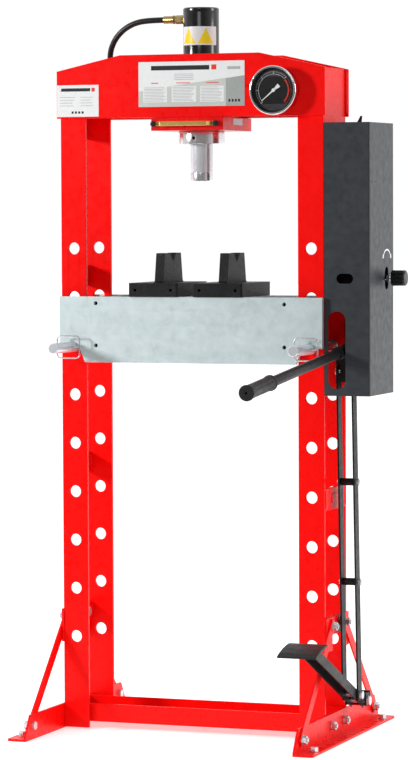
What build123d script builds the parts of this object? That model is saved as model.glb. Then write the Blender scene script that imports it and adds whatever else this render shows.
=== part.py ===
"""Hydraulic shop press: an H frame of paired flat bars with a height-set bed, a ram unit that slides
along the crown, and a pump worked by a hand lever and a foot pedal on the right-hand side.

Millimetres. The origin is on the floor, midway between the uprights and midway between their front
and rear bars. X runs to the right, Y to the back and Z up. Each node is one STEP file in parts/."""

from build123d import *
import math
import os

os.makedirs("parts", exist_ok=True)

# ---------------------------------------------------------------- frame
BAR_WIDTH = 60.0
BAR_THICK = 8.0
BAR_X = 282.0                 # centre line of an upright bar, left and right of the middle
BAR_Y = 74.5                  # middle of a bar's thickness, in front of and behind the middle
BAR_BOTTOM = 2.0
BAR_TOP = 1478.0
HOLE_R = 13.5                 # holes for the bed pins
HOLE_PITCH = 110.0
TOP_HOLE_Z = 1090.0
HOLE_ROWS = 9
COLUMN_X = BAR_X + BAR_WIDTH / 2          # outer face of an upright
BAR_OUTER_Y = BAR_Y + BAR_THICK / 2
BAR_INNER_Y = BAR_Y - BAR_THICK / 2
PLATE = 8.0                               # crown plates and the plates that tie the bars together

CROWN_HALF = 318.0
CROWN_BOTTOM = 1382.0
CROWN_END_TOP = 1488.0
CROWN_TOP = 1522.0
CROWN_PEAK_X = 165.0
RAIL_TOP = 1390.0
RAIL_WIDTH = 16.0

# (bottom, top) of the plates welded between the two bars of an upright
TIE_HEIGHTS = ((232.0, 273.0), (1003.0, 1050.0), (1338.0, CROWN_END_TOP))
LEFT_TIE = (573.0, 619.0)
SLOTTED_TIE = (510.0, 559.0)

# ---------------------------------------------------------------- base
ANGLE_THICK = 5.0
ANGLE_TALL = 56.0
ANGLE_OUT = 46.0              # how far the flat leg reaches outward
ANGLE_HALF = 302.0            # half its length, front to back
CHANNEL_HALF_Y = 64.0
CHANNEL_BOTTOM = 15.0
CHANNEL_WALL = 4.0
BRACE_WIDTH = 24.0
BRACE_LOW = (260.0, 31.0)     # bolt at the foot of a brace: distance from the middle, height
BRACE_HIGH = (46.0, 252.0)    # bolt at its top
BRACKET_Z = (197.0, 272.0)
BRACKET_HALF_Y = 80.0
BRACKET_GAP = (37.0, 232.0)   # half width and top of the opening under the bracket
CHANNEL_BOLT = (45.0, 30.0)
BOLT_R = 5.0
FOOT_BOLT = (343.0, 248.0)
ANCHOR = (342.0, 200.0)       # floor anchor holes
ANCHOR_R = 7.0

# ---------------------------------------------------------------- ram unit, parked just left of centre
RAM_X = -2.0
CARRIAGE_HALF_X = 85.5
CARRIAGE_HALF_Y = 95.0
CARRIAGE_Z = (1352.5, 1381.5)
TUBE_R = 40.5
TUBE_BORE_R = 34.0
TUBE_BOTTOM = 1340.0
TUBE_TOP = 1618.0
CAP_TOP = 1628.0
COLLAR_R = 52.0
COLLAR_Z = (1322.5, 1352.0)
RAM_R = 25.2
RAM_TIP = 1240.5
NOSE_TOP = 1258.5
PISTON_Z = (1560.0, 1590.0)
PORT_Z = 1603.0
SLIDE_FIT = 0.05              # radial clearance of the running fits

# ---------------------------------------------------------------- bed
BED_HALF = 312.0
BED_TOP = 982.0
BED_NOTCH_Z = 869.5
BED_BOTTOM = 834.0
BED_NOTCH_X = 265.0
BED_FOOT_X = 251.0
BED_FACE_Y = 92.0
BED_THICK = 10.0
BED_HOLE = (224.0, (967.0, 872.0))
PIN_R = 12.0
PIN_Z = TOP_HOLE_Z - 2 * HOLE_PITCH - (HOLE_R - PIN_R) + 0.3
PIN_TIP_Y = -204.0
PIN_TAIL_Y = 97.0
CLIP_Y = -114.0
CLIP_WIRE_R = 1.6

# ---------------------------------------------------------------- V-blocks
BLOCK_X = (-84.5, 68.5)
BLOCK_WIDTH = 117.0
BLOCK_HALF_Y = 96.5
BLOCK_BASE_TALL = 31.0
BLOCK_TOP = 1079.0
BLOCK_WALL = 21.5
BLOCK_WALL_Y = 5.0            # middle of the upright wall, behind the middle of the base
BLOCK_V_HALF = 20.5
BLOCK_V_DEEP = 20.0

# ---------------------------------------------------------------- pump side
BOX_X = (313.0, 417.5)
BOX_Y = (-78.5, 99.5)
BOX_Z = (766.0, 1366.5)
SHEET = 2.0
LEVER_X = 342.5               # the lever, links and pedal arm all lie about this plane
FULCRUM = (15.0, 822.0)       # Y and Z of the rocker's fixed pin
ROCKER_EYE = (-15.0, 818.0)   # where the two links hang from the rocker
LEVER_RISE = 45.0             # the lever's axis passes this far above the fulcrum
LEVER_DROOP = 5.2             # degrees below level, towards the front
LEVER_R = 11.0
LEVER_END = 690.0             # length from the fulcrum to the end of the grip
GRIP_LENGTH = 152.0
GRIP_R = 15.2
GRIP_COLLAR = (8.0, 17.0)     # length and radius of the collar at each end of the grip
PEDAL_PIVOT = (58.0, 74.5)
PEDAL_EYE = (22.0, 92.0)
PEDAL_SLOPE = 24.4            # degrees that the arm climbs towards the front
ARM_WIDTH = 30.0
ARM_LIFT = (-14.0, 9.0)       # underside and top of the arm, square to it from the pivot
ARM_WALL = 3.0
PAD_REAR = (-283.0, 240.0)    # Y and Z of the pad's underside at its rear and front edges
PAD_FRONT = (-363.0, 220.5)
PAD_HALF = 44.0
LINK_WIDTH = 28.0
LINK_THICK = 4.0
LINK_X = 17.5                 # each link's distance from the lever's plane
PLUNGER_Y = 45.0
VALVE = (47.0, 1023.0)        # Y and Z of the release valve's axis

# ---------------------------------------------------------------- gauge
GAUGE_X = 207.5
GAUGE_Z = 1437.5
GAUGE_R = 54.0
GAUGE_BORE_R = 49.5           # inside of the case, which the dial and the glass fit
GAUGE_BACK_Y = -(BAR_OUTER_Y + PLATE)
GAUGE_DEEP = 30.0


# ---------------------------------------------------------------- hose
HOSE_R = 6.6
HOSE_END = (351.5, -24.0)     # X and Y of the fitting on the pump body
# corners of its centre line, from the cylinder over the crown and down inside the right upright
HOSE_ROUTE = (
    (-90.5, 0, 1603),
    (-124, 0, 1603),
    (-160, 1.5, 1599),
    (-192, 5, 1584),
    (-217, 11, 1560),
    (-232, 20, 1528),
    (-231, 31, 1490),
    (-212, 43, 1456),
    (-176, 52, 1433),
    (-131, 57, 1422),
    (-84, 59, 1420),
    (-34, 59, 1420.5),
    (16, 59, 1420),
    (66, 58, 1420.5),
    (116, 56, 1420),
    (164, 52, 1419),
    (206, 44, 1412),
    (240, 34, 1394),
    (262, 22, 1366),
    (273, 8, 1330),
    (279, -6, 1292),
    (285, -16, 1254),
    (299, -22, 1221),
    (320, -24, 1192),
    (340.5, -24, 1166),
    (351.5, -24, 1137),
    (351.5, -24, 1108),
)


# ================================================================ helpers
def block(x0, x1, y0, y1, z0, z1):
    """A box from its low and high corners."""
    middle = Pos((x0 + x1) / 2, (y0 + y1) / 2, (z0 + z1) / 2)
    return middle * Box(x1 - x0, y1 - y0, z1 - z0)


def rod(axis, start, end, radius, a=0.0, b=0.0):
    """A cylinder along X, Y or Z from start to end; a and b are its other two coordinates in order."""
    middle = (start + end) / 2
    body = Cylinder(radius, abs(end - start))
    if axis == "X":
        return Pos(middle, a, b) * Rot(0, 90, 0) * body
    if axis == "Y":
        return Pos(a, middle, b) * Rot(90, 0, 0) * body
    return Pos(a, b, middle) * body


def hexagon(axis, start, end, across_flats, a=0.0, b=0.0):
    """A hexagonal prism placed as rod() places its cylinder."""
    prism = extrude(RegularPolygon(across_flats / math.sqrt(3), 6), abs(end - start) / 2, both=True)
    middle = (start + end) / 2
    if axis == "X":
        return Pos(middle, a, b) * Rot(0, 90, 0) * prism
    if axis == "Y":
        return Pos(a, middle, b) * Rot(90, 0, 0) * prism
    return Pos(a, b, middle) * prism


def front_plate(points, y0, y1):
    """An outline of (X, Z) points made solid between two Y values."""
    plane = Plane(origin=(0, y1, 0), x_dir=(1, 0, 0), z_dir=(0, -1, 0))
    return extrude(plane * make_face(Polyline(*points, close=True)), y1 - y0)


def side_plate(points, x0, x1):
    """An outline of (Y, Z) points made solid between two X values."""
    plane = Plane(origin=(x0, 0, 0), x_dir=(0, 1, 0), z_dir=(1, 0, 0))
    return extrude(plane * make_face(Polyline(*points, close=True)), x1 - x0)


def side_slot(x0, x1, y, z, half_width, half_height):
    """A round-ended upright slot cut along X."""
    straight = half_height - half_width
    cut = block(x0, x1, y - half_width, y + half_width, z - straight, z + straight)
    for end in (z - straight, z + straight):
        cut += rod("X", x0, x1, half_width, y, end)
    return cut


def turned(y, z, pivot, degrees):
    """The (Y, Z) point turned about pivot; positive angles lift the front."""
    angle = math.radians(-degrees)
    dy = y - pivot[0]
    dz = z - pivot[1]
    new_y = pivot[0] + dy * math.cos(angle) - dz * math.sin(angle)
    new_z = pivot[1] + dy * math.sin(angle) + dz * math.cos(angle)
    return new_y, new_z


def mirrored(shape):
    """The same piece on the other side of the press."""
    return mirror(shape, Plane.YZ)


def save(name, *solids):
    """Write one node: a single solid, or a group of separate ones."""
    bodies = [s for shape in solids for s in shape.solids()]
    part = bodies[0] if len(bodies) == 1 else Compound(children=bodies)
    part.label = name
    export_step(part, "parts/" + name + ".step")
    print(name, len(bodies), round(sum(s.volume for s in bodies)))


# ================================================================ frame
def upright_bar(y):
    """One flat bar of the right upright, with its row of pin holes."""
    half = BAR_WIDTH / 2
    bar = block(BAR_X - half, BAR_X + half, y - BAR_THICK / 2, y + BAR_THICK / 2, BAR_BOTTOM, BAR_TOP)
    for row in range(HOLE_ROWS):
        bar -= rod("Y", y - BAR_THICK, y + BAR_THICK, HOLE_R, BAR_X, TOP_HOLE_Z - row * HOLE_PITCH)
    return bar


def crown_plate(y0):
    """A crown plate: level in the middle and falling to both ends."""
    outline = [
        (-CROWN_HALF, CROWN_BOTTOM),
        (CROWN_HALF, CROWN_BOTTOM),
        (CROWN_HALF, CROWN_END_TOP),
        (CROWN_PEAK_X, CROWN_TOP),
        (-CROWN_PEAK_X, CROWN_TOP),
        (-CROWN_HALF, CROWN_END_TOP),
    ]
    return front_plate(outline, y0, y0 + PLATE)


def tie_plate(bottom, top):
    """A plate welded between the front and rear bars, flush with the upright's outer side."""
    plate = block(COLUMN_X - PLATE, COLUMN_X, -BAR_INNER_Y, BAR_INNER_Y, bottom, top)
    y, z = BRACE_HIGH
    if bottom < z < top:
        for side in (-1, 1):
            plate -= rod("X", COLUMN_X - 2 * PLATE, COLUMN_X + 1, BOLT_R + SLIDE_FIT, side * y, z)
    return plate


def build_frame():
    bars = [upright_bar(-BAR_Y), upright_bar(BAR_Y)]
    save("right_upright_bars", *bars)
    save("left_upright_bars", *[mirrored(bar) for bar in bars])

    gauge_hole = rod("Y", -BAR_OUTER_Y - 2 * PLATE, -BAR_OUTER_Y + 1, 8, GAUGE_X, GAUGE_Z)
    save("crown_front_plate", crown_plate(-BAR_OUTER_Y - PLATE) - gauge_hole)
    save("crown_rear_plate", crown_plate(BAR_OUTER_Y))
    rail_end = BAR_X - BAR_WIDTH / 2 - 2
    rails = []
    for side in (-1, 1):
        inner = side * (BAR_OUTER_Y - RAIL_WIDTH)
        outer = side * BAR_OUTER_Y
        rails.append(
            block(-rail_end, rail_end, min(inner, outer), max(inner, outer), CROWN_BOTTOM + 1, RAIL_TOP)
        )
    save("crown_rails", *rails)

    ties = [tie_plate(bottom, top) for bottom, top in TIE_HEIGHTS]
    slotted = tie_plate(*SLOTTED_TIE)
    for y in (-25, 25):
        slotted -= side_slot(COLUMN_X - 2 * PLATE, COLUMN_X + 1, y, sum(SLOTTED_TIE) / 2, 5, 9.5)
    left_ties = [mirrored(tie) for tie in ties + [tie_plate(*LEFT_TIE)]]

    outer_x = COLUMN_X + ANGLE_THICK
    gap_half, gap_top = BRACKET_GAP
    bracket = block(COLUMN_X, outer_x, -BRACKET_HALF_Y, BRACKET_HALF_Y, *BRACKET_Z)
    bracket -= block(COLUMN_X - 1, outer_x + 1, -gap_half, gap_half, BRACKET_Z[0] - 1, gap_top)
    for side in (-1, 1):
        bracket -= rod("X", COLUMN_X - 1, outer_x + 1, BOLT_R + SLIDE_FIT, side * BRACE_HIGH[0], BRACE_HIGH[1])
    save("tie_plates", *ties, slotted, *left_ties, bracket, mirrored(bracket))


def base_angle():
    """The right foot: an angle along the floor with its flat leg outward."""
    cut = 30.0
    wall = [
        (-ANGLE_HALF, 0),
        (ANGLE_HALF, 0),
        (ANGLE_HALF, 8),
        (ANGLE_HALF - cut, ANGLE_TALL),
        (cut - ANGLE_HALF, ANGLE_TALL),
        (-ANGLE_HALF, 8),
    ]
    angle = side_plate(wall, COLUMN_X, COLUMN_X + ANGLE_THICK)
    leg = block(COLUMN_X + 1, COLUMN_X + ANGLE_OUT, -ANGLE_HALF, ANGLE_HALF, 0, ANGLE_THICK)
    corners = leg.edges().filter_by(Axis.Z).group_by(Axis.X)[-1]
    angle += fillet(corners, 8)
    for side in (-1, 1):
        angle -= rod("Z", -1, 7, ANCHOR_R, ANCHOR[0], side * ANCHOR[1])
        angle -= rod("Z", -1, 7, 6 + SLIDE_FIT, FOOT_BOLT[0], side * FOOT_BOLT[1])
        for y, z in (BRACE_LOW, CHANNEL_BOLT):
            angle -= rod("X", COLUMN_X - 1, COLUMN_X + 7, BOLT_R + SLIDE_FIT, side * y, z)
    return angle


def side_brace(side):
    """A flat bar from the foot's end up to the bracket; side is -1 in front and 1 behind."""
    low_y, low_z = BRACE_LOW
    high_y, high_z = BRACE_HIGH
    along = Vector(high_y - low_y, high_z - low_z).normalized()
    across = Vector(-along.Y, along.X) * (BRACE_WIDTH / 2)
    reach = BRACE_WIDTH * 0.55
    start = Vector(low_y, low_z) - along * reach
    end = Vector(high_y, high_z) + along * reach
    corners = [start - across, end - across, end + across, start + across]
    x0 = COLUMN_X + ANGLE_THICK
    bar = side_plate([(side * c.X, c.Y) for c in corners], x0, x0 + 4)
    bar = fillet(bar.edges().filter_by(Axis.X), 5)
    for y, z in (BRACE_LOW, BRACE_HIGH):
        bar -= rod("X", x0 - 1, x0 + 6, BOLT_R + SLIDE_FIT, side * y, z)
    return bar


def side_bolt(y, z, inner, outer):
    """A bolt along X with its head at inner, and a washer, nut and thread end from outer."""
    head = hexagon("X", inner - 6.4, inner, 17, y, z)
    shank = rod("X", inner, outer + 13, BOLT_R, y, z)
    washer = rod("X", outer, outer + 2, 10.5, y, z)
    nut = hexagon("X", outer + 2, outer + 10, 17, y, z)
    return head + shank + washer + nut


def build_base():
    foot = base_angle()
    save("base_angles", foot, mirrored(foot))

    half_x = COLUMN_X
    wall = CHANNEL_WALL
    channel = block(-half_x, half_x, -CHANNEL_HALF_Y, CHANNEL_HALF_Y, CHANNEL_BOTTOM, ANGLE_TALL)
    inside_x = half_x - 6
    inside_y = CHANNEL_HALF_Y - wall
    channel -= block(-inside_x, inside_x, -inside_y, inside_y, CHANNEL_BOTTOM + wall, ANGLE_TALL + 1)
    for side in (-1, 1):
        y = side * CHANNEL_BOLT[0]
        channel -= rod("X", -half_x - 1, half_x + 1, BOLT_R + SLIDE_FIT, y, CHANNEL_BOLT[1])
    save("cross_channel", channel)

    braces = [side_brace(-1), side_brace(1)]
    save("side_braces", *braces, *[mirrored(brace) for brace in braces])

    leg_face = COLUMN_X + ANGLE_THICK
    bolts = []
    for side in (-1, 1):
        bolts.append(side_bolt(side * BRACE_LOW[0], BRACE_LOW[1], COLUMN_X, leg_face + 4))
        bolts.append(side_bolt(side * BRACE_HIGH[0], BRACE_HIGH[1], COLUMN_X - PLATE, leg_face + 4))
        bolts.append(side_bolt(side * CHANNEL_BOLT[0], CHANNEL_BOLT[1], COLUMN_X - 6, leg_face))
    save("frame_bolts", *bolts, *[mirrored(bolt) for bolt in bolts])

    foot_bolts = []
    for x in (-FOOT_BOLT[0], FOOT_BOLT[0]):
        for y in (-FOOT_BOLT[1], FOOT_BOLT[1]):
            bolt = rod("Z", 0, 8, 6, x, y)
            bolt += rod("Z", ANGLE_THICK, ANGLE_THICK + 2, 10, x, y)
            bolt += hexagon("Z", ANGLE_THICK + 2, ANGLE_THICK + 10, 16, x, y)
            foot_bolts.append(bolt)
    save("foot_bolts", *foot_bolts)


# ================================================================ ram unit
def build_carriage():
    low, high = CARRIAGE_Z
    x0 = RAM_X - CARRIAGE_HALF_X
    x1 = RAM_X + CARRIAGE_HALF_X
    body = block(x0, x1, -CARRIAGE_HALF_Y, CARRIAGE_HALF_Y, low, high)
    body = fillet(body.edges().filter_by(Axis.Z), 2)
    neck_y = BAR_OUTER_Y - RAIL_WIDTH - 1
    neck = block(RAM_X - 72, RAM_X + 72, -neck_y, neck_y, high, RAIL_TOP + 1)
    shoe_y = BAR_OUTER_Y - 2
    shoe = block(RAM_X - 72, RAM_X + 72, -shoe_y, shoe_y, RAIL_TOP + 0.4, RAIL_TOP + 14)
    body += neck
    body += shoe
    body -= rod("Z", low - 1, RAIL_TOP + 20, TUBE_R + SLIDE_FIT, RAM_X, 0)
    save("carriage_block", body)

    save("cylinder_tube", cylinder_tube())
    cap = rod("Z", TUBE_TOP, CAP_TOP, TUBE_R, RAM_X, 0)
    cap = chamfer(cap.edges().group_by(Axis.Z)[-1], 2.5)
    cap += rod("Z", TUBE_TOP - 6, TUBE_TOP, TUBE_BORE_R - SLIDE_FIT, RAM_X, 0)
    save("cylinder_cap", cap)

    bottom, top = COLLAR_Z
    collar = rod("Z", bottom, top, COLLAR_R, RAM_X, 0)
    collar = chamfer(collar.edges().filter_by(GeomType.CIRCLE), 1.5)
    collar -= rod("Z", bottom - 1, top + 1, RAM_R + SLIDE_FIT, RAM_X, 0)
    collar -= rod("Z", TUBE_BOTTOM, top + 1, TUBE_R + SLIDE_FIT, RAM_X, 0)
    screw_z = (bottom + TUBE_BOTTOM) / 2 + 5
    collar -= rod("Y", -COLLAR_R - 1, -COLLAR_R + 9, 4 + SLIDE_FIT, RAM_X, screw_z)
    save("ram_collar", collar)
    screw = rod("Y", -COLLAR_R + 2, -COLLAR_R + 9, 4, RAM_X, screw_z)
    screw -= hexagon("Y", -COLLAR_R + 1, -COLLAR_R + 6, 4, RAM_X, screw_z)
    build_handle(screw)

    port = PORT_Z
    wall_x = RAM_X - TUBE_R
    fitting = rod("X", RAM_X - TUBE_BORE_R, wall_x, 6, 0, port)
    fitting += hexagon("X", wall_x, wall_x - 19, 17, 0, port)
    fitting += rod("X", wall_x - 19, wall_x - 48, 8.5, 0, port)
    fitting += rod("X", wall_x - 22, wall_x - 26, 9.6, 0, port)
    save("cylinder_hose_fitting", fitting)


def cylinder_tube():
    """The ram's cylinder: a thick tube with the oil port near its top."""
    tube = rod("Z", TUBE_BOTTOM, TUBE_TOP, TUBE_R, RAM_X, 0)
    tube -= rod("Z", TUBE_BOTTOM - 1, TUBE_TOP + 1, TUBE_BORE_R, RAM_X, 0)
    tube -= rod("X", RAM_X - TUBE_R - 1, RAM_X - TUBE_BORE_R + 2, 6 + SLIDE_FIT, 0, PORT_Z)
    return tube


def build_handle(collar_screw):
    """A strap handle across the carriage's front, and the screws of the whole ram unit."""
    face = -CARRIAGE_HALF_Y
    z = 1367.5
    left = -86.0
    right = 74.0
    thick = 3.0
    lift = 13.0
    foot = 15.0
    slope = 10.0
    path = [
        (left, 0),
        (left + foot, 0),
        (left + foot + slope, lift),
        (right - foot - slope, lift),
        (right - foot, 0),
        (right, 0),
    ]
    outline = path + [(x, y + thick) for x, y in reversed(path)]
    plane = Plane(origin=(0, 0, z - 5), x_dir=(1, 0, 0), z_dir=(0, 0, 1))
    strap = extrude(plane * make_face(Polyline(*[(x, face - y) for x, y in outline], close=True)), 10)
    strap = fillet(strap.edges().filter_by(Axis.Y), 4.8)
    screws = []
    for x in (left + 6, right - 6):
        strap -= rod("Y", face - 5, face + 1, 3 + SLIDE_FIT, x, z)
        screw = rod("Y", face - thick - 6, face - thick, 6.5, x, z)
        screw = fillet(screw.edges().group_by(Axis.Y)[0], 2.5)
        screw += rod("Y", face - thick, face, 3, x, z)
        screws.append(screw)
    save("carriage_handle", strap)
    save("carriage_screws", *screws, collar_screw)


def build_ram():
    spigot_r = 16.0
    neck = 1.0                            # gap between the nose and the ram's end
    break_edge = 0.8
    ram = rod("Z", NOSE_TOP + neck, PISTON_Z[0], RAM_R, RAM_X, 0)
    ram = chamfer(ram.edges().group_by(Axis.Z)[0], break_edge)
    ram += rod("Z", PISTON_Z[0], PISTON_Z[1] - 2, spigot_r, RAM_X, 0)
    ram -= rod("Z", NOSE_TOP, NOSE_TOP + 30, 10 + SLIDE_FIT, RAM_X, 0)
    save("ram_rod", ram)

    nose = rod("Z", RAM_TIP, NOSE_TOP, RAM_R, RAM_X, 0)
    nose = chamfer(nose.edges().filter_by(GeomType.CIRCLE), break_edge)
    nose += rod("Z", NOSE_TOP, NOSE_TOP + neck, RAM_R - 2, RAM_X, 0)
    nose += rod("Z", NOSE_TOP + neck, NOSE_TOP + 28, 10, RAM_X, 0)
    save("ram_nose", nose)

    seal_z = sum(PISTON_Z) / 2
    piston = rod("Z", *PISTON_Z, TUBE_BORE_R - SLIDE_FIT, RAM_X, 0)
    piston -= rod("Z", PISTON_Z[0] - 1, PISTON_Z[1] - 2, spigot_r + SLIDE_FIT, RAM_X, 0)
    groove = rod("Z", seal_z - 4, seal_z + 4, TUBE_BORE_R + 1, RAM_X, 0)
    groove -= rod("Z", seal_z - 5, seal_z + 5, TUBE_BORE_R - 4, RAM_X, 0)
    save("ram_piston", piston - groove)
    seal = rod("Z", seal_z - 3.9, seal_z + 3.9, TUBE_BORE_R - SLIDE_FIT, RAM_X, 0)
    seal -= rod("Z", seal_z - 5, seal_z + 5, TUBE_BORE_R - 3.9, RAM_X, 0)
    save("piston_seal", seal)

    wire_r = 2.5
    coil_r = (RAM_R + TUBE_BORE_R) / 2
    bottom = TUBE_BOTTOM + wire_r + 0.3
    top = PISTON_Z[0] - wire_r - 0.3
    helix = Helix(pitch=(top - bottom) / 8, height=top - bottom, radius=coil_r)
    section = Plane(origin=helix @ 0, z_dir=helix % 0) * Circle(wire_r)
    spring = Pos(RAM_X, 0, bottom) * sweep(section, path=helix, is_frenet=True)
    save("return_spring", spring)


# ================================================================ bed
def bed_plate(y0):
    """A bed plate: a wide board whose lower corners step up to sit over the pins."""
    outline = [
        (-BED_HALF, BED_NOTCH_Z),
        (-BED_NOTCH_X, BED_NOTCH_Z),
        (-BED_FOOT_X, BED_BOTTOM),
        (BED_FOOT_X, BED_BOTTOM),
        (BED_NOTCH_X, BED_NOTCH_Z),
        (BED_HALF, BED_NOTCH_Z),
        (BED_HALF, BED_TOP),
        (-BED_HALF, BED_TOP),
    ]
    plate = front_plate(outline, y0, y0 + BED_THICK)
    seat_r = PIN_R + 1.5
    for x in (-BAR_X, BAR_X):
        plate -= rod("Y", y0 - 1, y0 + BED_THICK + 1, seat_r, x, PIN_Z - 1.2)
    for x in (-BED_HOLE[0], BED_HOLE[0]):
        for z in BED_HOLE[1]:
            plate -= rod("Y", y0 - 1, y0 + BED_THICK + 1, 4.5, x, z)
    return plate


def build_bed():
    save("bed_plates", bed_plate(-BED_FACE_Y), bed_plate(BED_FACE_Y - BED_THICK))
    inner = BED_FACE_Y - BED_THICK
    spacers = []
    for x in (-BED_HOLE[0], BED_HOLE[0]):
        low, high = BED_HOLE[1][1] - 18, BED_HOLE[1][0] + 13
        spacer = block(x - 20, x + 20, -inner, inner, low, high)
        spacer -= block(x - 16, x + 16, -inner - 1, inner + 1, low + 4, high - 4)
        spacers.append(spacer)
    save("bed_spacers", *spacers)


def v_block(x):
    """A cast arbor support: a broad base with an upright that has a V across its top."""
    half = BLOCK_WIDTH / 2
    base_top = BED_TOP + BLOCK_BASE_TALL
    base = block(x - half, x + half, -BLOCK_HALF_Y, BLOCK_HALF_Y, BED_TOP + 0.3, base_top)
    base = fillet(base.edges().filter_by(Axis.Z), 4)
    foot = 62.0
    head = 50.0
    middle = BLOCK_WALL_Y
    outline = [
        (middle - foot, base_top - 1),
        (middle + foot, base_top - 1),
        (middle + head, BLOCK_TOP),
        (middle + BLOCK_V_HALF, BLOCK_TOP),
        (middle, BLOCK_TOP - BLOCK_V_DEEP),
        (middle - BLOCK_V_HALF, BLOCK_TOP),
        (middle - head, BLOCK_TOP),
    ]
    wall = side_plate(outline, x - BLOCK_WALL / 2, x + BLOCK_WALL / 2)
    root = side_plate([(middle - foot - 6, base_top - 1), (middle + foot + 6, base_top - 1), (middle, base_top + 40)],
                      x - BLOCK_WALL / 2, x + BLOCK_WALL / 2)
    shoulder = root & block(x - 50, x + 50, -80, 80, base_top - 2, base_top + 9)
    casting = base + wall + shoulder
    for side in (-1, 1):
        casting -= rod("Y", -BLOCK_HALF_Y - 1, 12 - BLOCK_HALF_Y, 3.5, x + side * 42.5, BED_TOP + 15)
    return casting


def build_v_blocks():
    save("left_v_block", v_block(BLOCK_X[0]))
    save("right_v_block", v_block(BLOCK_X[1]))


def build_pins():
    pin = rod("Y", PIN_TIP_Y, PIN_TAIL_Y, PIN_R, BAR_X, PIN_Z)
    pin = chamfer(pin.edges().filter_by(GeomType.CIRCLE), 1.5)
    pin -= rod("X", BAR_X - 20, BAR_X + 20, CLIP_WIRE_R + SLIDE_FIT, CLIP_Y, PIN_Z)
    save("right_bed_pin", pin)
    save("left_bed_pin", mirrored(pin))

    half_x = 27.0
    half_z = 25.0
    plane = Plane(origin=(BAR_X, CLIP_Y, PIN_Z), x_dir=(1, 0, 0), z_dir=(0, -1, 0))
    outer = plane * RectangleRounded(2 * half_x, 2 * half_z, 9)
    path = outer.wire()
    start = path @ 0
    loop = sweep(Plane(origin=start, z_dir=path % 0) * Circle(CLIP_WIRE_R), path=path)
    bar = rod("X", BAR_X - half_x, BAR_X + half_x, CLIP_WIRE_R, CLIP_Y, PIN_Z)
    clip = loop + bar
    save("right_pin_clip", clip)
    save("left_pin_clip", mirrored(clip))


# ================================================================ pump side
def pump_housing():
    """A folded sheet cover, open towards the upright and below, with slots for the lever and valve."""
    x0, x1 = BOX_X
    y0, y1 = BOX_Y
    z0, z1 = BOX_Z
    shell = block(x0, x1, y0, y1, z0, z1)
    shell = fillet(shell.edges().filter_by(Axis.Z).group_by(Axis.X)[-1], 3)
    hollow = block(x0 - 1, x1 - SHEET, y0 + SHEET, y1 - SHEET, z0 - 1, z1 - SHEET)
    shell -= hollow
    slot_half = 20.0
    slot_low = 781.0 + slot_half
    slot_high = 952.0 - slot_half
    x = 341.5
    shell -= block(x - slot_half, x + slot_half, y0 - 1, y0 + 3, slot_low, slot_high)
    for z in (slot_low, slot_high):
        shell -= rod("Y", y0 - 1, y0 + 3, slot_half, x, z)
    window_r = 11.0
    window_z = 1024.0
    shell -= block(341 + window_r, 379.5 - window_r, y0 - 1, y0 + 3, window_z - window_r, window_z + window_r)
    for end in (341 + window_r, 379.5 - window_r):
        shell -= rod("Y", y0 - 1, y0 + 3, window_r, end, window_z)
    shell -= side_slot(x1 - 3, x1 + 1, *VALVE, 14, 25)
    for y in (-61, -39):
        shell -= rod("X", x1 - 3, x1 + 1, 2, y, 1236.5)
    tab = front_plate([(343, z1 - 1), (355, z1 - 1), (357, z1 + 17), (353, z1 + 17)], 60, 62)
    return shell + tab


def pump_mount():
    """The pump's back plate on the upright, with two ears that hold the rocker's fulcrum pin."""
    x0 = BOX_X[0]
    wall = 5.0
    ears = (x0 + wall, LEVER_X + 21.5)
    mount = block(x0, x0 + wall, 5, 92, 1080, 1330)
    mount += block(x0, x0 + wall, -50, 92, 985, 1090)
    mount += block(x0, x0 + wall, 66, 92, 865, 990)
    mount += block(x0, x0 + wall, 2, 92, 790, 870)
    mount += block(x0 + wall, ears[1] + 4, 76, 80, 802, 842)
    for x in ears:
        mount += block(x, x + 4, 2, 34, 802, 842)
        mount += block(x, x + 4, 30, 80, 802, 814)
    pin_hole = rod("X", BOX_X[0] + 1, LEVER_X + 30, 7 + SLIDE_FIT, *FULCRUM)
    return mount - pin_hole


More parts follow.
